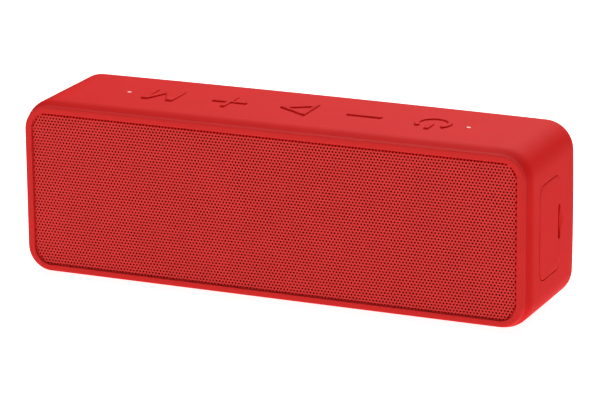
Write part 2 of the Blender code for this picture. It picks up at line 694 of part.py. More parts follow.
def make_inside():
    board = (112.0 * MM, 16.0 * MM, 1.0 * MM)
    plate = make("button_board", box_mesh("button_board", board), "circuit_board",
                 spot(3.0 * MM, KEY_DEPTH, BOARD_TOP - board[2] / 2))
    soften(plate, 0.2 * MM)
    main = make("main_board", box_mesh("main_board", (120.0 * MM, 1.6 * MM, 34.0 * MM)), "circuit_board",
                spot(0, 37.2 * MM, -2.0 * MM))
    soften(main, 0.2 * MM)
    for name, x, side in (("amplifier_chip", -40.0, 9.0), ("wireless_module", 40.0, 14.0)):
        chip = make(name, box_mesh(name, (side * MM, 1.6 * MM, side * MM)), "chip",
                    spot(x * MM, 35.3 * MM, 0))
        soften(chip, 0.2 * MM)
    cell_radius = 9.2 * MM
    cell_depth = 23.0 * MM
    cell_level = -4.0 * MM
    cell_half = 32.5 * MM
    profile = [(0, cell_half), (cell_radius - 0.6 * MM, cell_half), (cell_radius, cell_half - 0.6 * MM),
               (cell_radius, 0.6 * MM - cell_half), (cell_radius - 0.6 * MM, -cell_half), (0, -cell_half)]
    turned_piece("battery_cell", profile, "cell_wrap", spot(0, cell_depth, cell_level), "right", steps=24)
    floor = TUB_INSIDE + GAP - HEIGHT / 2
    cradle_tall = cell_level - 2.5 * MM - floor
    cradle = make("battery_cradle", box_mesh("battery_cradle", (50.0 * MM, 16.0 * MM, cradle_tall)),
                  "dark_plastic", spot(0, cell_depth, floor + cradle_tall / 2))
    saddle = make_tool("saddle", flat_mesh("saddle", [circle(cell_radius + GAP, 32)], 70 * MM),
                       spot(0, cell_depth, cell_level), "right")
    combine(cradle, saddle, "DIFFERENCE")


def make_feet(skin):
    for name, x in (("foot_left", -FOOT_X), ("foot_right", FOOT_X)):
        bottom = -HEIGHT / 2 - FOOT_HEIGHT
        make(name, flat_mesh(name, [rounded_rectangle(FOOT_SIZE, 5)], FOOT_THICK), "black_rubber",
             spot(x, DEPTH / 2, bottom + FOOT_THICK / 2))
        pocket = flat_mesh("foot_pocket", [rounded_rectangle(FOOT_SIZE, 5, grow=GAP)], 4 * MM)
        combine(skin, make_tool(name + "_pocket", pocket, spot(x, DEPTH / 2, -HEIGHT / 2)), "DIFFERENCE")


SKIN_PIECE = make_skin()
TUB_PIECE = make_tub()
make_front()
make_driver("left", -DRIVER_X)
make_driver("right", DRIVER_X)
make_radiator()
pierce_top(SKIN_PIECE, TUB_PIECE)
for key_x, (key_name, mark, mark_holes) in zip(key_places(), mark_shapes()):
    make_key(key_name, key_x, mark, mark_holes)
make_light("charge_light", -LIGHT_X)
make_light("status_light", LIGHT_X)
make_ports(SKIN_PIECE, TUB_PIECE)
make_inside()
make_feet(SKIN_PIECE)
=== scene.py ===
"""Looks of the compact wireless speaker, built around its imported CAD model.

A "depth" is measured backwards from the front face, and a "level" upwards from the middle of the case.
"""
import json
import math

import bmesh
import bpy
from mathutils import Matrix, Vector
from mathutils.geometry import delaunay_2d_cdt


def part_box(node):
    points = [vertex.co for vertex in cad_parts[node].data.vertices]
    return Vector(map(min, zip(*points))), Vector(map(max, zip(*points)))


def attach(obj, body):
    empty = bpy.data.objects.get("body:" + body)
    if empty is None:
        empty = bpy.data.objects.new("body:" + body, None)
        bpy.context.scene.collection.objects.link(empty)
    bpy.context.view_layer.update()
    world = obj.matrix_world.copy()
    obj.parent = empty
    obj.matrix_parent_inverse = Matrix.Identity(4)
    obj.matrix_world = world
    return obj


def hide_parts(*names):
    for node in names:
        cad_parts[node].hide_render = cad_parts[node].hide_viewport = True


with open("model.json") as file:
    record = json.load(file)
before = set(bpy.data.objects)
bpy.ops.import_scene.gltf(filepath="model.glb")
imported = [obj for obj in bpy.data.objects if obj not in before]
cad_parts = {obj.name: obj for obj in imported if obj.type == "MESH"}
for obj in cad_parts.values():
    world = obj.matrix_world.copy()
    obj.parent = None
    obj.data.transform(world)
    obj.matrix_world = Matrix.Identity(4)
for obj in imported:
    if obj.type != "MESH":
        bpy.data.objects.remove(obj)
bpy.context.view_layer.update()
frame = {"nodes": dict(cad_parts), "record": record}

MM = 0.001
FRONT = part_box("front_bezel")[0][1]
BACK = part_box("outer_skin")[1][1]
DEPTH = BACK - FRONT
FLAP_LOW, FLAP_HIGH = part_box("port_cover")
MIDDLE = (FLAP_LOW[2] + FLAP_HIGH[2]) / 2

# Outside of the case
LENGTH = 165.0 * MM
HEIGHT = 54.7 * MM
CORNER = 8.85 * MM
EDGE_DEPTH = 5.8 * MM
EDGE_ANGLE = math.radians(17.8)
EDGE_BEND = 10.0 * MM
BACK_FILLET = 4.57 * MM
CROWN_TOP = 0.34 * MM
CROWN_END = 0.19 * MM
SKIN = 1.2 * MM
BEZEL_BACK = 1.3 * MM
SEAM = 0.06 * MM
TOP = HEIGHT / 2
CORNER_STEPS = 14
LONG_STEPS = 48
SHORT_STEPS = 14

# Grille
OPENING = (158.2 * MM, 48.4 * MM, 5.4 * MM)
SHEET = (159.2 * MM, 49.4 * MM, 5.9 * MM)
SHEET_FRONT = 0.6 * MM
SHEET_THICK = 0.55 * MM
ROLLED_EDGE = 0.46 * MM
ROLL_DEEP = 0.36 * MM
HOLE_PITCH = 1.069 * MM
ROW_STEP = HOLE_PITCH * math.sqrt(3) / 2
HOLE_ROWS = 52
HALF_COLUMNS = 76
HOLE_MARGIN = 0.12 * MM
HOLE_RADIUS = 0.325 * MM
HOLE_SIDES = 8
PATTERN_DROP = 0.15 * MM

# Two points of the sheet's drawing that are closer than this are one point
MERGE = 0.0005 * MM

# Keys, lights, flap and feet
KEY_PITCH = 22.2 * MM
KEY_MIDDLE = 0.3 * MM
KEY_DEPTH = 21.2 * MM
MARK_HEIGHT = 0.42 * MM
MARK_STROKE = 1.5 * MM
MARK_LENGTH = 11.4 * MM
MARK_GAP = 0.02 * MM
MARK_CORNER = 0.3 * MM
FIELD_CORNER = 0.25 * MM
LENS_OVAL = (1.2, 0.85)
LENS_GAP = 0.05 * MM
FLAP_CORNER = 3.65 * MM
FLAP_GAP = 0.3 * MM
FLAP_THICK = 1.9 * MM
FLAP_REACH = 0.22 * MM
NOTCH_BITE = 1.6 * MM
NOTCH_TALL = 10.8 * MM
NOTCH_DEEP = 1.4 * MM
SCOOP_RADIUS = 4.6 * MM
SCOOP_DEEP = 0.5 * MM
SCOOP_REACH = 2.0 * MM
FOOT_GAP = 0.1 * MM

# Camera
AZIMUTH = math.radians(23.89)
ELEVATION = math.radians(16.35)
ROLL = math.radians(-0.549)
DISTANCE = 1.1124
LENS = 219.8
AIM = Vector((0.00102, 0.00012, 0.02713))
LIGHTS_AIM = Vector((0.0, 0.0, 0.03))

# Texture values that give the dark and the light shade, or the low and the high roughness
TEXTURE_LOW = 0.3
TEXTURE_HIGH = 0.7


# ---------------------------------------------------------------- materials

def new_material(name, colour, roughness, metallic=0.0, **sockets):
    material = bpy.data.materials.new(name)
    material.use_nodes = True
    shader = material.node_tree.nodes["Principled BSDF"]
    shader.inputs["Base Color"].default_value = (*colour, 1.0)
    shader.inputs["Roughness"].default_value = roughness
    shader.inputs["Metallic"].default_value = metallic
    for socket, value in sockets.items():
        shader.inputs[socket.replace("_", " ")].default_value = value
    return material, shader


def texture(material, kind, scale, **values):
    """A procedural texture in the object's own metres. Returns its node."""
    nodes = material.node_tree.nodes
    coordinates = nodes.get("Texture Coordinate") or nodes.new("ShaderNodeTexCoord")
    node = nodes.new("ShaderNodeTex" + kind)
    node.inputs["Scale"].default_value = scale
    for socket, value in values.items():
        node.inputs[socket].default_value = value
    material.node_tree.links.new(coordinates.outputs["Object"], node.inputs["Vector"])
    return node


def vary_colour(material, shader, source, dark, light):
    """Drive the base colour from a texture, between two colours."""
    ramp = material.node_tree.nodes.new("ShaderNodeValToRGB")
    ramp.color_ramp.elements[0].position = TEXTURE_LOW
    ramp.color_ramp.elements[0].color = (*dark, 1.0)
    ramp.color_ramp.elements[1].position = TEXTURE_HIGH
    ramp.color_ramp.elements[1].color = (*light, 1.0)
    material.node_tree.links.new(source, ramp.inputs["Fac"])
    material.node_tree.links.new(ramp.outputs["Color"], shader.inputs["Base Color"])


def vary_roughness(material, shader, source, low, high):
    spread = material.node_tree.nodes.new("ShaderNodeMapRange")
    spread.inputs["From Min"].default_value = TEXTURE_LOW
    spread.inputs["From Max"].default_value = TEXTURE_HIGH
    spread.inputs["To Min"].default_value = low
    spread.inputs["To Max"].default_value = high
    material.node_tree.links.new(source, spread.inputs["Value"])
    material.node_tree.links.new(spread.outputs["Result"], shader.inputs["Roughness"])


def add_bump(material, shader, source, depth):
    """Bump of a depth in metres, from a texture."""
    bump = material.node_tree.nodes.new("ShaderNodeBump")
    bump.inputs["Distance"].default_value = depth
    bump.inputs["Strength"].default_value = 1.0
    material.node_tree.links.new(source, bump.inputs["Height"])
    material.node_tree.links.new(bump.outputs["Normal"], shader.inputs["Normal"])


def scaled(colour, factor):
    return tuple(min(1.0, c * factor) for c in colour)


def grained(name, colour, roughness, grain, depth, mottle, **sockets):
    """A moulded, painted or cast finish: a fine grain, slow changes of shade and uneven gloss."""
    material, shader = new_material(name, colour, roughness, **sockets)
    slow = texture(material, "Noise", 90.0, Detail=3.0)
    fine = texture(material, "Noise", 1.0 / grain, Detail=2.0)
    dark, light = scaled(colour, 1 - mottle), scaled(colour, 1 + mottle)
    vary_colour(material, shader, slow.outputs["Fac"], dark, light)
    vary_roughness(material, shader, fine.outputs["Fac"], roughness - 0.05, roughness + 0.05)
    add_bump(material, shader, fine.outputs["Fac"], depth)
    return material


def perforated(material, hole_shade_colour):
    """Paint shade into a sheet's holes: their walls get a darker, deeper colour than its two faces, which
    face along Y.
    """
    nodes, links = material.node_tree.nodes, material.node_tree.links
    # Mask from the normal: walls that don't face along Y get the painted shade colour
    split = nodes.new("ShaderNodeSeparateXYZ")
    links.new(nodes["Texture Coordinate"].outputs["Normal"], split.inputs["Vector"])
    facing = nodes.new("ShaderNodeMath")
    facing.operation = "ABSOLUTE"
    links.new(split.outputs["Y"], facing.inputs[0])
    mix = nodes.new("ShaderNodeMix")
    mix.data_type = "RGBA"
    colour = nodes["Principled BSDF"].inputs["Base Color"]
    links.new(facing.outputs["Value"], mix.inputs[0])
    mix.inputs[6].default_value = (*hole_shade_colour, 1.0)
    links.new(colour.links[0].from_socket, mix.inputs[7])
    links.new(mix.outputs[2], colour)
    return material


def circuit_board(name):
    """Green solder mask with copper tracks under it."""
    material, shader = new_material(name, (0.01, 0.12, 0.045), 0.4)
    tracks = texture(material, "Brick", 420.0)
    tracks.inputs["Color1"].default_value = (0.008, 0.11, 0.04, 1.0)
    tracks.inputs["Color2"].default_value = (0.012, 0.15, 0.06, 1.0)
    tracks.inputs["Mortar"].default_value = (0.03, 0.26, 0.1, 1.0)
    tracks.inputs["Mortar Size"].default_value = 0.03
    material.node_tree.links.new(tracks.outputs["Color"], shader.inputs["Base Color"])
    fine = texture(material, "Noise", 3000.0)
    vary_roughness(material, shader, fine.outputs["Fac"], 0.33, 0.45)
    add_bump(material, shader, tracks.outputs["Fac"], 0.02 * MM)
    return material


def brushed_metal(name, colour, roughness):
    """Bare metal with fine turning marks."""
    material, shader = new_material(name, colour, roughness, 1.0)
    rings = texture(material, "Wave", 900.0, Distortion=2.0, Detail=2.0)
    slow = texture(material, "Noise", 200.0)
    vary_colour(material, shader, slow.outputs["Fac"], scaled(colour, 0.88), colour)
    vary_roughness(material, shader, rings.outputs["Fac"], roughness - 0.07, roughness + 0.1)
    return material


def copper_winding(name):
    """Fine lacquered wire, wound in turns across the coil's axis."""
    material, shader = new_material(name, (0.72, 0.3, 0.12), 0.3, 1.0)
    turns = texture(material, "Wave", 1600.0)
    turns.bands_direction = "Y"
    vary_colour(material, shader, turns.outputs["Fac"], (0.38, 0.12, 0.05), (0.78, 0.36, 0.16))
    add_bump(material, shader, turns.outputs["Fac"], 0.05 * MM)
    return material


RED = (0.70, 0.0135, 0.012)
# The ring's red; its green and blue, raised above the skin's, are a painted reflection standing in for its
# sheen
RING_RED_WITH_SHEEN = (0.71, 0.031, 0.029)
# The grille face's red paint; its raised green and blue are a painted reflection standing in for its sheen
GRILLE_RED_WITH_SHEEN = (0.785, 0.047, 0.044)
# Painted shade: the dark, deep red given to the walls of the grille's holes
HOLE_SHADE_RED = (0.62, 0.001, 0.001)
CLOTH_RED = (0.28, 0.0015, 0.0015)
PALETTE = {
    "soft_skin": grained("soft_skin", RED, 0.6, 0.12 * MM, 0.006 * MM, mottle=0.02,
                         Specular_IOR_Level=0.025),
    "bezel_plastic": grained("bezel_plastic", RING_RED_WITH_SHEEN, 0.5, 0.2 * MM, 0.003 * MM, mottle=0.02,
                             Specular_IOR_Level=0.02),
    "grille_metal": perforated(grained("grille_metal", GRILLE_RED_WITH_SHEEN, 0.45, 0.3 * MM, 0.004 * MM, mottle=0.03,
                                       Specular_IOR_Level=0.05), HOLE_SHADE_RED),
    "dark_plastic": grained("dark_plastic", (0.014, 0.013, 0.014), 0.65, 0.25 * MM, 0.01 * MM, mottle=0.15,
                            Specular_IOR_Level=0.25),
    "black_rubber": grained("black_rubber", (0.014, 0.014, 0.015), 0.75, 0.2 * MM, 0.012 * MM, mottle=0.2,
                            Specular_IOR_Level=0.25),
    "grille_cloth": grained("grille_cloth", CLOTH_RED, 0.95, 0.15 * MM, 0.02 * MM, mottle=0.1,
                            Specular_IOR_Level=0.02),
    "foam": grained("foam", (0.04, 0.04, 0.042), 0.95, 0.5 * MM, 0.2 * MM, mottle=0.3),
    "steel": brushed_metal("steel", (0.62, 0.61, 0.6), 0.32),
    "black_steel": grained("black_steel", (0.015, 0.015, 0.016), 0.6, 0.3 * MM, 0.006 * MM, mottle=0.2,
                           Specular_IOR_Level=0.3),
    "ferrite": grained("ferrite", (0.05, 0.05, 0.055), 0.6, 0.4 * MM, 0.02 * MM, mottle=0.2),
    "copper": copper_winding("copper"),
    "paper": grained("paper", (0.02, 0.019, 0.02), 0.9, 0.6 * MM, 0.05 * MM, mottle=0.35,
                     Specular_IOR_Level=0.2),
    "circuit_board": circuit_board("circuit_board"),
    "chip": grained("chip", (0.014, 0.014, 0.016), 0.42, 0.15 * MM, 0.004 * MM, mottle=0.2),
    "cell_wrap": grained("cell_wrap", (0.03, 0.16, 0.5), 0.32, 0.8 * MM, 0.01 * MM, mottle=0.1),
    "light_guide": grained("light_guide", (0.9, 0.42, 0.39), 0.3, 0.3 * MM, 0.002 * MM, mottle=0.02,
                           Emission_Color=(1.0, 0.3, 0.26, 1.0), Emission_Strength=0.4),
    "dim_light_guide": grained("dim_light_guide", (0.9, 0.5, 0.48), 0.3, 0.3 * MM, 0.002 * MM, mottle=0.02,
                               Emission_Color=(1.0, 0.5, 0.48, 1.0), Emission_Strength=0.2),
}


# ---------------------------------------------------------------- making pieces

def spot(x, depth, level):
    """Position of a point given by its X, its depth and its level."""
    return (x, FRONT + depth, MIDDLE + level)


def shade(mesh, angle):
    """Shade a mesh smooth, except at the edges that turn by more than the angle."""
    mesh.shade_smooth()
    mesh.set_sharp_from_angle(angle=math.radians(angle))


def new_object(name, mesh, matrix=None):
    obj = bpy.data.objects.new(name, mesh)
    if matrix is not None:
        obj.matrix_world = matrix
    bpy.context.scene.collection.objects.link(obj)
    return obj


def finish_piece(obj, body, finish, stands_for=(), angle=30.0):
    """Give a piece its material, hang it on the body it rides on, and hide the CAD nodes it stands for."""
    obj.data.materials.clear()
    obj.data.materials.append(PALETTE[finish])
    shade(obj.data, angle)
    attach(obj, body)
    if stands_for:
        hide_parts(*stands_for)


def evaluated_mesh(obj):
    bpy.context.view_layer.update()
    return bpy.data.meshes.new_from_object(obj.evaluated_get(bpy.context.evaluated_depsgraph_get()))


def apply_modifiers(obj):
    mesh = evaluated_mesh(obj)
    obj.modifiers.clear()
    obj.data = mesh


def combine(obj, tools, operation="DIFFERENCE"):
    """Cut or join other solids with a piece, then remove them."""
    for tool in tools:
        modifier = obj.modifiers.new("combine", "BOOLEAN")
        modifier.operation = operation
        modifier.object = tool
    apply_modifiers(obj)
    for tool in tools:
        bpy.data.objects.remove(tool)


def round_edges(obj, width):
    modifier = obj.modifiers.new("edges", "BEVEL")
    modifier.width = width
    modifier.segments = 3
    modifier.limit_method = "ANGLE"
    modifier.angle_limit = math.radians(35.0)
    apply_modifiers(obj)


# Turns that make a flat drawing face the top, the front or the right-hand end
FACING = {
    "top": Matrix.Identity(4),
    "front": Matrix(((1, 0, 0, 0), (0, 0, -1, 0), (0, 1, 0, 0), (0, 0, 0, 1))),
    "right": Matrix(((0, 0, 1, 0), (1, 0, 0, 0), (0, 1, 0, 0), (0, 0, 0, 1))),
}


def prism(name, outlines, thickness, centre, facing="top", bevel=0.0):
    """A flat solid from an outline and its holes, with its rim rounded by the bevel, as a mesh object."""
    curve = bpy.data.curves.new(name, "CURVE")
    curve.dimensions = "2D"
    curve.fill_mode = "BOTH"
    curve.extrude = thickness / 2 - bevel
    curve.bevel_depth = bevel
    curve.bevel_resolution = 2
    curve.offset = -bevel
    for outline in outlines:
        spline = curve.splines.new("POLY")
        spline.points.add(len(outline) - 1)
        spline.use_cyclic_u = True
        for point, (u, v) in zip(spline.points, outline):
            point.co = (u, v, 0.0, 1.0)
    drawing = new_object(name, curve)
    mesh = evaluated_mesh(drawing)
    bpy.data.objects.remove(drawing)
    weld(mesh)
    return new_object(name, mesh, Matrix.Translation(centre) @ FACING[facing])


def box_centre(low, high):
    return tuple((a + b) / 2 for a, b in zip(low, high))


def weld(mesh):
    """Join the points that lie on each other, and turn every face outwards."""
    shape = bmesh.new()
    shape.from_mesh(mesh)
    bmesh.ops.remove_doubles(shape, verts=shape.verts, dist=1e-6)
    bmesh.ops.recalc_face_normals(shape, faces=shape.faces)
    shape.to_mesh(mesh)
    shape.free()


def loft(name, rings, loop=False):
    """Join rings of equal point counts, and either close the loft on itself or cap both ends."""
    count = len(rings[0])
    points = [point for ring in rings for point in ring]
    rows = range(len(rings) if loop else len(rings) - 1)
    faces = []
    for row in rows:
        here, there = row * count, (row + 1) % len(rings) * count
        for i in range(count):
            j = (i + 1) % count
            faces.append((here + i, here + j, there + j, there + i))
    if not loop:
        faces.append(tuple(range(count)))
        faces.append(tuple(range(len(points) - count, len(points))))
    mesh = bpy.data.meshes.new(name)
    mesh.from_pydata(points, [], faces)
    weld(mesh)
    return new_object(name, mesh)


# ---------------------------------------------------------------- outlines

def circle(radius, steps, centre=(0.0, 0.0)):
    turns = [2 * math.pi * (i + 0.5) / steps for i in range(steps)]
    return [(centre[0] + radius * math.cos(a), centre[1] + radius * math.sin(a)) for a in turns]


def rounded_rectangle(size, steps=8, grow=0.0):
    """Outline of a rounded rectangle, size = (width, height, corner radius), grown all round."""
    width, height, radius = size
    inner_u = width / 2 - radius
    inner_v = height / 2 - radius
    radius += grow
    points = []
    for corner, (su, sv) in enumerate(((1, 1), (-1, 1), (-1, -1), (1, -1))):
        for step in range(steps + 1):
            angle = math.pi / 2 * (corner + step / steps)
            u = su * inner_u + radius * math.cos(angle)
            v = sv * inner_v + radius * math.sin(angle)
            points.append((u, v))
    return points


def shift_edges(outline, distance):
    """Move every edge of a counter-clockwise polygon outwards, with mitred corners."""
    moved = []
    count = len(outline)
    for i in range(count):
        before, here, after = outline[i - 1], outline[i], outline[(i + 1) % count]
        normals = []
        for start, end in ((before, here), (here, after)):
            run = math.dist(start, end)
            normals.append(((end[1] - start[1]) / run, (start[0] - end[0]) / run))
        (au, av), (bu, bv) = normals
        scale = distance / (1.0 + au * bu + av * bv)
        moved.append((here[0] + (au + bu) * scale, here[1] + (av + bv) * scale))
    return moved


def round_corners(outline, radius):
    """Swap each corner of a polygon for a short curve."""
    steps = 4
    points = []
    count = len(outline)
    for i in range(count):
        here = Vector(outline[i])
        ends = []
        for other in (outline[i - 1], outline[(i + 1) % count]):
            reach = Vector(other) - here
            ends.append(here + reach.normalized() * min(radius, 0.45 * reach.length))
        for step in range(steps + 1):
            t = step / steps
            point = ends[0] * (1 - t) ** 2 + here * (2 * t * (1 - t)) + ends[1] * t ** 2
            points.append((point.x, point.y))
    return points


def letter_m(width, height, stroke):
    """Outline of a block M, counter-clockwise, with broad shoulders and a deep valley."""
    left = width / 2
    top = height / 2
    valley = top - height * 0.79
    slope = (top - valley) / (left - stroke / 2)
    half_band = stroke / 2 * math.sqrt(1 + slope ** 2)
    shoulder = left - 1.55 * stroke
    armpit = top - slope * stroke / 2 - half_band
    right_side = [(left - stroke, -top), (left, -top), (left, top), (shoulder, top)]
    notch = [(0.0, valley + half_band)]
    left_side = [(-shoulder, top), (-left, top), (-left, -top), (stroke - left, -top)]
    tip = [(stroke - left, armpit), (0.0, valley - half_band), (left - stroke, armpit)]
    return right_side + notch + left_side + tip


def plus_sign(length, stroke):
    a, b = length / 2, stroke / 2
    lower_half = [(-a, -b), (-b, -b), (-b, -a), (b, -a), (b, -b), (a, -b)]
    return lower_half + [(-u, -v) for u, v in lower_half]


def bar(length, stroke):
    u, v = length / 2, stroke / 2
    return [(-u, -v), (u, -v), (u, v), (-u, v)]


def arc_band(radius, stroke, gap_angle):
    """A broken ring whose gap faces the front."""
    steps = 40
    start = -math.pi / 2 + gap_angle
    sweep = 2 * (math.pi - gap_angle)
    turns = [start + sweep * i / steps for i in range(steps + 1)]
    hollow = radius - stroke
    outer = [(radius * math.cos(a), radius * math.sin(a)) for a in turns]
    inner = [(hollow * math.cos(a), hollow * math.sin(a)) for a in reversed(turns)]
    return outer + inner


def mark_shapes():
    """For each key: its name, the outlines of its mark, and what is hollowed out of them."""
    turned_m = [(-u, -v) for u, v in letter_m(10.6 * MM, 10.9 * MM, MARK_STROKE)]
    triangle = [(-5.5 * MM, 0.0), (5.2 * MM, -6.3 * MM), (5.2 * MM, 6.3 * MM)]
    stick = [(-v, u - 3.6 * MM) for u, v in bar(5.7 * MM, MARK_STROKE)]
    return [
        ("mode", [turned_m], []),
        ("volume_up", [plus_sign(MARK_LENGTH, MARK_STROKE)], []),
        ("play", [triangle], [shift_edges(triangle, -MARK_STROKE)]),
        ("volume_down", [bar(MARK_LENGTH, MARK_STROKE)], []),
        ("power", [arc_band(5.8 * MM, MARK_STROKE, math.radians(47)), stick], []),
    ]


# ---------------------------------------------------------------- case

def case_outline(inset, depth, crowned):
    """Outline of the case at one depth. Its straight edges swell a little, more so towards the back."""
    half_length = LENGTH / 2 - inset
    half_height = HEIGHT / 2 - inset
    radius = max(CORNER - inset, 0.5 * MM)
    swell = depth / DEPTH if crowned else 0.0
    points = []
    for corner, (sx, sz) in enumerate(((1, 1), (-1, 1), (-1, -1), (1, -1))):
        centre_x = sx * (half_length - radius)
        centre_z = sz * (half_height - radius)
        for step in range(CORNER_STEPS + 1):
            angle = math.pi / 2 * (corner + step / CORNER_STEPS)
            points.append((centre_x + radius * math.cos(angle), centre_z + radius * math.sin(angle)))
        along_x = corner % 2 == 0
        reach = half_length - radius if along_x else half_height - radius
        steps = LONG_STEPS if along_x else SHORT_STEPS
        crown = (CROWN_TOP if along_x else CROWN_END) * swell
        for step in range(1, steps):
            t = 2 * step / steps - 1
            rise = crown * (1 - t * t)
            if along_x:
                points.append((-sx * reach * t, sz * (half_height + rise)))
            else:
                points.append((sx * (half_length + rise), -sz * reach * t))
    return [spot(x, depth, z) for x, z in points]


def edge_inset(depth):
    """How far the bevelled front edge is drawn in at a depth. It meets the sides in a soft bend."""
    bend_run = EDGE_BEND * math.sin(EDGE_ANGLE)
    run = max(EDGE_DEPTH - depth, 0.0)
    bent = min(run, bend_run)
    return EDGE_BEND - math.sqrt(EDGE_BEND ** 2 - bent ** 2) + (run - bent) * math.tan(EDGE_ANGLE)


def wall_rings(offset, front, crowned):
    """Rings of a wall of the case, front to back, at an offset inside the outer surface."""
    edge_steps, flat_steps, fillet_steps = (14, 18, 10) if crowned else (0, 1, 3)
    edge_end = EDGE_DEPTH if crowned else front
    flat_end = DEPTH - BACK_FILLET
    depths = [front + (edge_end - front) * i / edge_steps for i in range(edge_steps)]
    depths += [edge_end + (flat_end - edge_end) * i / flat_steps for i in range(flat_steps)]
    rings = [case_outline(offset + (edge_inset(d) if crowned else 0.0), d, crowned) for d in depths]
    radius = BACK_FILLET - offset
    for step in range(fillet_steps + 1):
        angle = math.pi / 2 * step / fillet_steps
        depth = DEPTH - offset - radius + radius * math.sin(angle)
        rings.append(case_outline(offset + radius * (1 - math.cos(angle)), depth, crowned))
    return rings


def crown_at(x, depth):
    """How far the top swells above the flat height there."""
    reach = LENGTH / 2 - CORNER
    return CROWN_TOP * depth / DEPTH * (1 - (x / reach) ** 2)


def key_places():
    return [KEY_MIDDLE + (place - 2) * KEY_PITCH for place in range(5)]


def flap_outline(grow):
    size = (FLAP_HIGH[1] - FLAP_LOW[1], FLAP_HIGH[2] - FLAP_LOW[2], FLAP_CORNER)
    return rounded_rectangle(size, 10, grow)


def flap_centre(x):
    return (x, (FLAP_LOW[1] + FLAP_HIGH[1]) / 2, MIDDLE)


def lens_outline(low, high, grow):
    """The slightly oval outline of a light's lens, from the box of its CAD node."""
    return [(LENS_OVAL[0] * u, LENS_OVAL[1] * v) for u, v in circle((high[0] - low[0]) / 2 + grow, 24)]


def foot_outline(low, high, grow):
    width, depth = high[0] - low[0], high[1] - low[1]
    return rounded_rectangle((width, depth, depth / 2), 12, grow)


def scoop_tool():
    """The shallow dish behind the flap that lets a fingernail in."""
    ball = (SCOOP_RADIUS ** 2 + SCOOP_DEEP ** 2) / (2 * SCOOP_DEEP)
    mesh = bpy.data.meshes.new("finger_scoop")
    shape = bmesh.new()
    bmesh.ops.create_uvsphere(shape, u_segments=96, v_segments=64, radius=ball)
    shape.to_mesh(mesh)
    shape.free()
    surface = LENGTH / 2 + CROWN_END / 2
    back = FLAP_HIGH[1] + FLAP_GAP + SCOOP_REACH
    move = Matrix.Translation((surface + ball - SCOOP_DEEP, back - SCOOP_RADIUS, MIDDLE))
    return new_object("finger_scoop", mesh, move @ Matrix.Rotation(math.pi / 2, 4, "Y"))


def make_skin():
    """The soft red sleeve, with windows for the marks, the lights, the flap and the feet."""
    inside = wall_rings(SKIN, BEZEL_BACK + SEAM, False)
    outside = wall_rings(0.0, BEZEL_BACK + SEAM, True)
    skin = loft("soft_skin_sleeve", list(reversed(inside)) + outside)
    flap_cut, top_cut, foot_cut = 12 * MM, 7 * MM, 6 * MM
    tools = [prism("flap_window", [flap_outline(FLAP_GAP)], flap_cut, flap_centre(LENGTH / 2), "right")]
    for x, (_, outlines, _) in zip(key_places(), mark_shapes()):
        for outline in outlines:
            window = round_corners(shift_edges(outline, MARK_GAP), MARK_CORNER)
            tools.append(prism("mark_window", [window], top_cut, spot(x, KEY_DEPTH, TOP)))
    for light in ("charge_light", "status_light"):
        low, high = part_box(light)
        centre = spot(box_centre(low, high)[0], KEY_DEPTH, TOP)
        tools.append(prism("light_hole", [lens_outline(low, high, LENS_GAP)], top_cut, centre))
    for foot in ("foot_left", "foot_right"):
        low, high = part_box(foot)
        centre = (*box_centre(low, high)[:2], MIDDLE - HEIGHT / 2)
        tools.append(prism("foot_window", [foot_outline(low, high, FOOT_GAP)], foot_cut, centre))
    tools.append(scoop_tool())
    combine(skin, tools)
    finish_piece(skin, "housing", "soft_skin", ("outer_skin",))


def make_bezel():
    """The slim front ring. Its face is crowned, and its outside carries the case's front edge on."""
    crown_deep = 0.24 * MM
    crown_wide = 0.95 * MM
    crown_steps = 10
    round_inner = 0.07 * MM
    round_steps = 5
    pocket = 0.9 * MM
    lip = SHEET_FRONT + ROLL_DEEP - 0.03 * MM
    rings = []

    def add_ring(size, grow, depth):
        rings.append([spot(x, depth, z) for x, z in rounded_rectangle(size, CORNER_STEPS, grow)])

    for depth in (BEZEL_BACK, 0.9 * MM, 0.6 * MM, crown_deep):
        add_ring((LENGTH, HEIGHT, CORNER), -edge_inset(depth), depth)
    for step in range(1, crown_steps + 1):
        angle = math.pi / 2 * step / crown_steps
        inset = edge_inset(crown_deep) + crown_wide * (1 - math.cos(angle))
        add_ring((LENGTH, HEIGHT, CORNER), -inset, crown_deep * (1 - math.sin(angle)))
    for step in range(round_steps + 1):
        angle = math.pi / 2 * step / round_steps
        add_ring(OPENING, round_inner * (1 - math.sin(angle)), round_inner * (1 - math.cos(angle)))
    add_ring(OPENING, 0.0, lip)
    add_ring(OPENING, pocket, lip)
    add_ring(OPENING, pocket, BEZEL_BACK)
    bezel = loft("bezel_ring", rings, loop=True)
    finish_piece(bezel, "housing", "bezel_plastic", ("front_bezel",), angle=50.0)


# ---------------------------------------------------------------- grille

def inside_rounded(x, z, size, margin):
    """Whether a point is inside a rounded rectangle, by at least the margin."""
    width, height, radius = size
    over_x = max(abs(x) - (width / 2 - radius), 0.0)
    over_z = max(abs(z) - (height / 2 - radius), 0.0)
    return math.hypot(over_x, over_z) <= radius - margin


def hole_centres():
    """Rows of holes, each row shifted by half a pitch from the next."""
    centres = []
    for row in range(HOLE_ROWS):
        z = (row - (HOLE_ROWS - 1) / 2) * ROW_STEP
        shift = 0.5 if row % 2 else 0.0
        for column in range(-HALF_COLUMNS, HALF_COLUMNS):
            x = (column + shift) * HOLE_PITCH
            if inside_rounded(x, z - PATTERN_DROP, OPENING, HOLE_MARGIN):
                centres.append((x, z))
    return centres


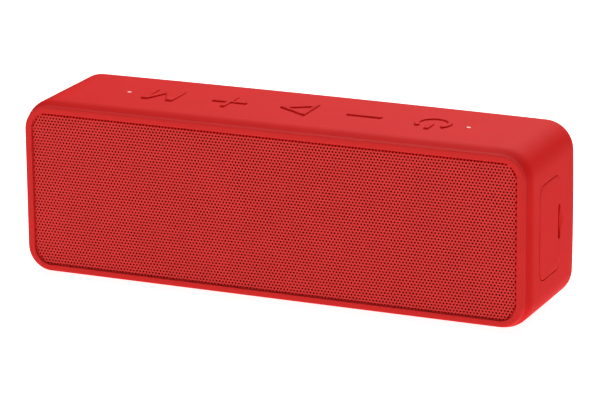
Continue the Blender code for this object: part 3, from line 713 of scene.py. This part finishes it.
def bridge_rings(outer_count, outer_start, inner_count, inner_start):
    """Triangles between two rings of points round one centre, as ("outer" or "inner", index) corners."""
    outer = [outer_start + 2 * math.pi * i / outer_count for i in range(outer_count + 1)]
    inner = [inner_start + 2 * math.pi * i / inner_count for i in range(inner_count + 1)]
    triangles = []
    i = j = 0
    while i < outer_count or j < inner_count:
        here = (("outer", i % outer_count), ("inner", j % inner_count))
        if j == inner_count or (i < outer_count and outer[i + 1] <= inner[j + 1]):
            triangles.append((here[0], ("outer", (i + 1) % outer_count), here[1]))
            i += 1
        else:
            triangles.append((here[0], ("inner", (j + 1) % inner_count), here[1]))
            j += 1
    return triangles


def perforated_sheet(name, centres, keep_right):
    """The left or right half of the grille, with a round hole in the middle of each six-sided cell.

    Both halves work out every cell, so that the plain border round the cells can be filled in one go.
    """
    cell_radius = HOLE_PITCH / math.sqrt(3)
    points, index = [], {}
    front_faces, wall_faces = [], []

    def corner(x, z):
        key = (round(x / MERGE), round(z / MERGE))
        if key not in index:
            index[key] = len(points)
            points.append((x, z))
        return index[key]

    pattern = bridge_rings(6, math.pi / 6, HOLE_SIDES, math.pi / HOLE_SIDES)
    uses = {}
    for cx, cz in centres:
        cell = []
        for i in range(6):
            angle = math.pi / 6 + math.pi / 3 * i
            cell.append(corner(cx + cell_radius * math.cos(angle), cz + cell_radius * math.sin(angle)))
        for a, b in zip(cell, cell[1:] + cell[:1]):
            uses[frozenset((a, b))] = uses.get(frozenset((a, b)), 0) + 1
        if (cx >= 0) != keep_right:
            continue
        first = len(points)
        points += circle(HOLE_RADIUS, HOLE_SIDES, (cx, cz))
        ring = list(range(first, first + HOLE_SIDES))
        corners = {"outer": cell, "inner": ring}
        for triangle in pattern:
            front_faces.append(tuple(corners[which][i] for which, i in triangle))
        wall_faces += list(zip(ring, ring[1:] + ring[:1]))

    rim = rounded_rectangle(SHEET, CORNER_STEPS)
    border = [tuple(edge) for edge, count in uses.items() if count == 1]
    used = sorted({i for edge in border for i in edge})
    local = {i: n for n, i in enumerate(used)}
    coordinates = [Vector(points[i]) for i in used] + [Vector(p) for p in rim]
    rim_ids = list(range(len(used), len(coordinates)))
    edges = [(local[a], local[b]) for a, b in border]
    filled_points, _, filled_faces, *_ = delaunay_2d_cdt(coordinates, edges, [rim_ids], 1, 1e-9)
    cells = {(round(2 * x / HOLE_PITCH), round(z / ROW_STEP + 0.5)) for x, z in centres}
    ids = [corner(p.x, p.y) for p in filled_points]
    for face in filled_faces:
        middle = sum((filled_points[i] for i in face), Vector((0.0, 0.0))) / len(face)
        if (middle.x >= 0) != keep_right or covered(middle, cells):
            continue
        front_faces.append(tuple(ids[i] for i in face))
    rim_index = [corner(*p) for p in rim]
    wall_faces += [(a, b) for a, b in zip(rim_index, rim_index[1:] + rim_index[:1])
                   if (points[a][0] + points[b][0] >= 0) == keep_right]
    return sheet_solid(name, points, front_faces, wall_faces)


def sheet_solid(name, points, front_faces, wall_faces):
    """Give the drawing of a sheet its thickness. Near the opening's edge the front is rolled back."""
    count = len(points)
    front = []
    for x, z in points:
        level = z - PATTERN_DROP
        flat = inside_rounded(x, level, OPENING, ROLLED_EDGE)
        front.append(spot(x, SHEET_FRONT if flat else SHEET_FRONT + ROLL_DEEP, level))
    back = [spot(x, SHEET_FRONT + SHEET_THICK, z - PATTERN_DROP) for x, z in points]
    faces = front_faces + [tuple(count + i for i in reversed(face)) for face in front_faces]
    faces += [(a, b, count + b, count + a) for a, b in wall_faces]
    mesh = bpy.data.meshes.new(name)
    mesh.from_pydata(front + back, [], faces)
    shape = bmesh.new()
    shape.from_mesh(mesh)
    bmesh.ops.delete(shape, geom=[v for v in shape.verts if not v.link_faces], context="VERTS")
    bmesh.ops.recalc_face_normals(shape, faces=shape.faces)
    shape.to_mesh(mesh)
    shape.free()
    return new_object(name, mesh)


def covered(point, cells):
    """Whether a point lies in one of the perforated cells. Cells are keyed by half columns and rows."""
    near_row = round(point.y / ROW_STEP + 0.5)
    near_column = round(2 * point.x / HOLE_PITCH)
    for row in range(near_row - 1, near_row + 2):
        for column in range(near_column - 2, near_column + 3):
            if (column, row) in cells:
                dx = abs(point.x - column * HOLE_PITCH / 2)
                dz = abs(point.y - (row - 0.5) * ROW_STEP)
                if dx <= HOLE_PITCH / 2 and dx / 2 + dz * math.sqrt(3) / 2 <= HOLE_PITCH / 2:
                    return True
    return False


def make_grille():
    """The perforated sheet in two halves, and the thin cloth behind it."""
    centres = hole_centres()
    for name, side in (("grille_sheet_left", False), ("grille_sheet_right", True)):
        sheet = perforated_sheet(name, centres, side)
        finish_piece(sheet, "housing", "grille_metal", ("front_grille",))
    cloth_thick = 0.06 * MM
    cloth_gap = 0.03 * MM
    centre = spot(0.0, SHEET_FRONT + SHEET_THICK + cloth_gap + cloth_thick / 2, 0.0)
    cloth = prism("grille_cloth", [rounded_rectangle(OPENING, CORNER_STEPS)], cloth_thick, centre, "front")
    finish_piece(cloth, "housing", "grille_cloth")


# ---------------------------------------------------------------- keys, lights, flap and feet

def make_keys():
    """Five keys, each a raised mark over a round pad. A hollow mark also has a field level with the skin."""
    pad_low, pad_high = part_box("volume_down_key")
    pad_radius = (pad_high[0] - pad_low[0]) / 2
    pad_thick = 0.9 * MM
    mark_root = 1.3 * MM
    for x, (name, outlines, holes) in zip(key_places(), mark_shapes()):
        body = name + "_key"
        rise = crown_at(x, KEY_DEPTH)
        tall = rise + MARK_HEIGHT + mark_root
        rounded = [round_corners(outline, MARK_CORNER) for outline in outlines]
        rounded_holes = [round_corners(hole, FIELD_CORNER) for hole in holes]
        centre = spot(x, KEY_DEPTH, TOP + rise + MARK_HEIGHT - tall / 2)
        mark = prism(name + "_mark", rounded + rounded_holes, tall, centre, bevel=0.27 * MM)
        finish_piece(mark, body, "soft_skin", (body,), angle=40.0)
        centre = (x, FRONT + KEY_DEPTH, pad_low[2] + pad_thick / 2)
        pad = prism(name + "_pad", [circle(pad_radius, 48)], pad_thick, centre, bevel=0.15 * MM)
        finish_piece(pad, body, "soft_skin")
        if holes:
            outline = round_corners(shift_edges(holes[0], -MARK_GAP), FIELD_CORNER)
            tall = rise + SKIN
            field = prism(name + "_field", [outline], tall, spot(x, KEY_DEPTH, TOP + rise - tall / 2))
            finish_piece(field, body, "soft_skin")


def make_lights():
    for name, finish in (("charge_light", "dim_light_guide"), ("status_light", "light_guide")):
        low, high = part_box(name)
        outline = lens_outline(low, high, 0.0)
        lens = prism(name + "_lens", [outline], high[2] - low[2], box_centre(low, high), bevel=0.12 * MM)
        finish_piece(lens, "housing", finish, (name,))


def make_flap():
    """The port flap: its face is a patch of the case's own surface, and its back carries a sealing rib.

    Its back edge nearly closes the gap there, and has a shallow notch for a fingernail.
    """
    inner = FLAP_HIGH[0] - FLAP_THICK
    blank = 6 * MM
    face = [(u + FLAP_REACH if u > 0 else u, v) for u, v in flap_outline(0.0)]
    flap = prism("port_flap", [face], blank, flap_centre(inner + blank / 2), "right")
    case = loft("case_solid", wall_rings(0.0, BEZEL_BACK, True))
    bite = rounded_rectangle((2 * NOTCH_BITE, NOTCH_TALL, 0.9 * MM))
    notch = prism("notch", [bite], 2 * NOTCH_DEEP, (FLAP_HIGH[0], FLAP_HIGH[1], MIDDLE), "right")
    combine(flap, [case], "INTERSECT")
    combine(flap, [notch])
    round_edges(flap, 0.18 * MM)
    finish_piece(flap, "port_cover", "soft_skin", ("port_cover",), angle=40.0)
    seal_size = (11.0 * MM, 24.0 * MM, 2.5 * MM)
    seal_wall = 1.2 * MM
    seal_shift = -1.5 * MM
    sunk = 0.2 * MM
    seal_tall = inner + sunk - FLAP_LOW[0]
    centre = (FLAP_LOW[0] + seal_tall / 2, flap_centre(0.0)[1] + seal_shift, MIDDLE)
    outlines = [rounded_rectangle(seal_size), rounded_rectangle(seal_size, grow=-seal_wall)]
    seal = prism("port_flap_seal", outlines, seal_tall, centre, "right", bevel=0.15 * MM)
    finish_piece(seal, "port_cover", "soft_skin")


def make_sockets():
    """Contacts inside the two sockets behind the flap."""
    low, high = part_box("usb_socket")
    usb_sunk = 3.4 * MM
    centre = (high[0] - usb_sunk, *box_centre(low, high)[1:])
    tongue_outline = rounded_rectangle((0.7 * MM, 6.3 * MM, 0.2 * MM), 3)
    tongue = prism("usb_tongue", [tongue_outline], 5.0 * MM, centre, "right", bevel=0.1 * MM)
    finish_piece(tongue, "housing", "chip")
    contacts_outline = rounded_rectangle((0.78 * MM, 5.4 * MM, 0.1 * MM), 3)
    contacts = prism("usb_contacts", [contacts_outline], 3.6 * MM, centre, "right", bevel=0.03 * MM)
    finish_piece(contacts, "housing", "steel")
    low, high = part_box("aux_socket")
    aux_sunk = 0.9 * MM
    bore_shift = 0.8 * MM
    middle = box_centre(low, high)
    centre = (high[0] - aux_sunk, middle[1] + bore_shift, middle[2])
    sleeve_outlines = [circle(1.76 * MM, 32), circle(1.55 * MM, 32)]
    sleeve = prism("aux_sleeve", sleeve_outlines, 1.6 * MM, centre, "right", bevel=0.04 * MM)
    finish_piece(sleeve, "housing", "steel")


def make_feet():
    for name in ("foot_left", "foot_right"):
        low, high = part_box(name)
        outline = foot_outline(low, high, 0.0)
        foot = prism(name + "_pad", [outline], high[2] - low[2], box_centre(low, high), bevel=0.25 * MM)
        finish_piece(foot, "housing", "black_rubber", (name,))


# ---------------------------------------------------------------- CAD nodes that stay

def repaint_nodes():
    """Give each CAD node that still shows the procedural material of its slot."""
    for entry in frame["record"]["subparts"]:
        node = frame["nodes"][entry["node"]]
        if node.hide_render:
            continue
        node.data.materials.clear()
        node.data.materials.append(PALETTE[entry["material_slot"]])


# ---------------------------------------------------------------- stage, light and camera

def add_area(name, place, size, power):
    """A white panel of light that faces the speaker."""
    light = bpy.data.lights.new(name, "AREA")
    light.shape = "RECTANGLE"
    light.size, light.size_y = size
    light.energy = power
    lamp = bpy.data.objects.new(name, light)
    lamp.location = place
    lamp.rotation_euler = (LIGHTS_AIM - Vector(place)).to_track_quat("-Z", "Y").to_euler()
    bpy.context.scene.collection.objects.link(lamp)


def make_stage():
    """A glowing white floor, as blank as the photo's, and three panels of light."""
    thick = 0.01
    floor = prism("floor", [rounded_rectangle((8.0, 8.0, 1.0))], thick, (0.0, 0.0, -thick / 2))
    material, shader = new_material("floor", (0.7, 0.7, 0.7), 0.9, Emission_Color=(1.0, 1.0, 1.0, 1.0),
                                    Emission_Strength=0.94, Specular_IOR_Level=0.0)
    soft = texture(material, "Noise", 3.0)
    vary_colour(material, shader, soft.outputs["Fac"], (0.69, 0.69, 0.69), (0.71, 0.71, 0.71))
    floor.data.materials.append(material)
    world = bpy.data.worlds.new("studio")
    world.use_nodes = True
    background = world.node_tree.nodes["Background"]
    background.inputs["Color"].default_value = (1.0, 1.0, 1.0, 1.0)
    background.inputs["Strength"].default_value = 0.02
    bpy.context.scene.world = world
    add_area("key", (0.0, 1.07, 0.75), (1.2, 0.5), 16.2)
    add_area("top", (0.0, 0.0, 1.3), (1.0, 1.0), 8.2)
    add_area("front", (-0.4, -1.3, 0.3), (1.2, 0.5), 2.9)


def make_camera():
    forward = Vector((-math.sin(AZIMUTH) * math.cos(ELEVATION),
                      math.cos(AZIMUTH) * math.cos(ELEVATION), -math.sin(ELEVATION)))
    level_right = forward.cross(Vector((0, 0, 1))).normalized()
    level_up = level_right.cross(forward)
    right = level_right * math.cos(ROLL) + level_up * math.sin(ROLL)
    up = right.cross(forward)
    lens = bpy.data.cameras.new("camera")
    lens.lens = LENS
    camera = bpy.data.objects.new("camera", lens)
    matrix = Matrix((right, up, -forward)).transposed().to_4x4()
    matrix.translation = AIM - forward * DISTANCE
    camera.matrix_world = matrix
    bpy.context.scene.collection.objects.link(camera)
    bpy.context.scene.camera = camera


bpy.context.scene.view_settings.view_transform = "Standard"
make_camera()
make_stage()
make_skin()
make_bezel()
make_grille()
make_keys()
make_lights()
make_flap()
make_sockets()
make_feet()
repaint_nodes()
